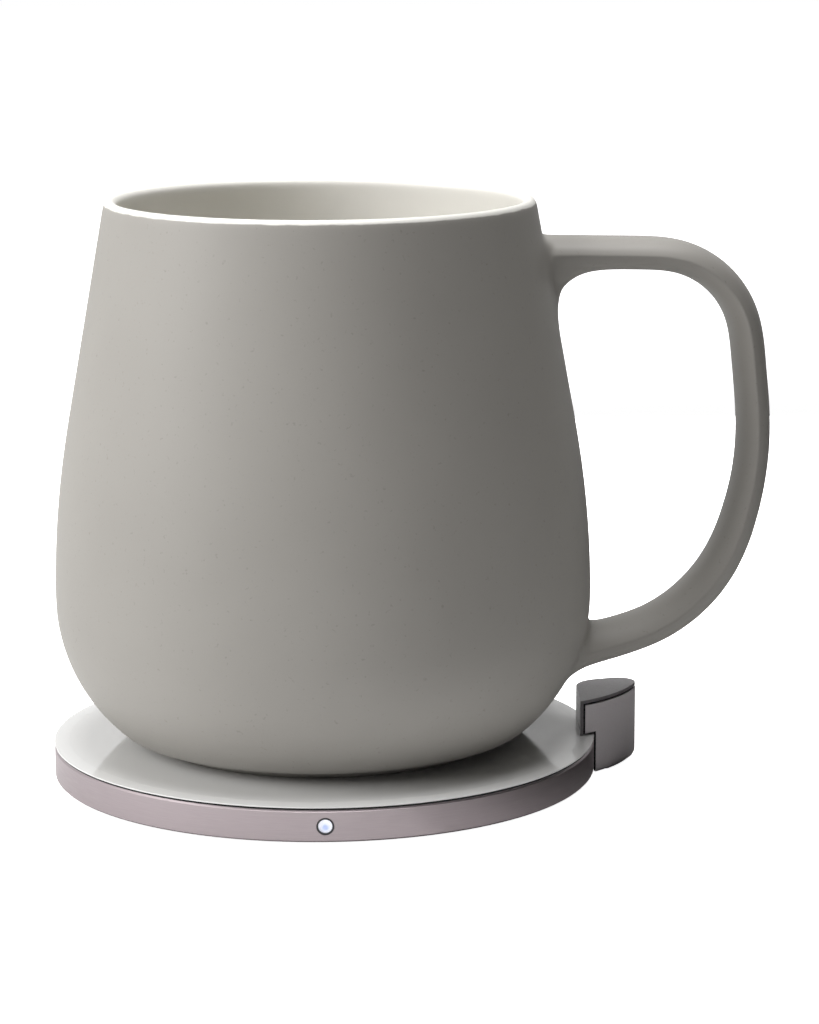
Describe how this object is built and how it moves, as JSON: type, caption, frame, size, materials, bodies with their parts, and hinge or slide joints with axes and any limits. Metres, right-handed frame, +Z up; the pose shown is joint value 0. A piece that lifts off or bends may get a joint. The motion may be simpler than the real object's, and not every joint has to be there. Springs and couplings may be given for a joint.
{
  "type": "electric mug warmer",
  "caption": "Thin round powered base with an edge post and a small light, and the handled ceramic mug that stands on it and lifts off",
  "frame": {"origin": "middle of the foot mat's underside, on the surface that the base stands on", "axes": "+Z up out of the mug's mouth, -Y towards the small light in the wall, +X towards the post"},
  "size_m": [0.1191, 0.09, 0.0968],
  "materials": {
    "mat_silicone": "matte silicone",
    "cover_plastic": "fine moulded grain",
    "screw_steel": "plain zinc",
    "ring_metal": "satin, warm pinkish grey",
    "gasket_rubber": "matte",
    "plate_gloss": "high gloss, light grey",
    "circuit_board": "solder mask",
    "ferrite": "sintered, matte",
    "coil_copper": "enamelled copper wire",
    "heat_pad": "heat-resistant pad",
    "sensor_glass": "epoxy bead",
    "chip_black": "epoxy",
    "capacitor_ceramic": "fired ceramic",
    "diode_body": "white",
    "lens_clear": "milky, slightly blue",
    "bezel_dark": "dark",
    "post_satin": "satin, dark warm grey",
    "panel_satin": "satin",
    "inlet_metal": "bright plated steel",
    "ribbon_film": "polyimide film",
    "mug_glaze": "matte warm grey outside, satin cream inside",
    "seal_disc": "moulded"
  },
  "bodies": {
    "base": {"foot_mat": "mat_silicone", "bottom_cover": "cover_plastic", "cover_screws": "screw_steel", "side_ring": "ring_metal", "plate_gasket": "gasket_rubber", "top_plate": "plate_gloss", "main_board": "circuit_board", "coil_tray": "cover_plastic", "ferrite_sheet": "ferrite", "transmitter_coil": "coil_copper", "coil_pad": "heat_pad", "temperature_sensor": "sensor_glass", "control_chip": "chip_black", "power_inductor": "ferrite", "board_capacitors": "capacitor_ceramic", "indicator_led": "diode_body", "indicator_lens": "lens_clear", "indicator_bezel": "bezel_dark", "post_shell": "post_satin", "post_base": "cover_plastic", "post_face": "panel_satin", "post_screws": "screw_steel", "inlet_shell": "inlet_metal", "inlet_tongue": "chip_black", "inlet_board": "circuit_board", "link_ribbon": "ribbon_film"},
    "mug": {"mug_shell": "mug_glaze", "mug_handle": "mug_glaze", "mug_base_seal": "seal_disc", "mug_ferrite": "ferrite", "receiver_coil": "coil_copper", "heating_film": "ribbon_film"}
  },
  "joints": [
    {"name": "mug_lift", "type": "slide", "parent": "base", "child": "mug", "axis": [0, 0, 1], "range_m": [0, 0.12]}
  ]
}
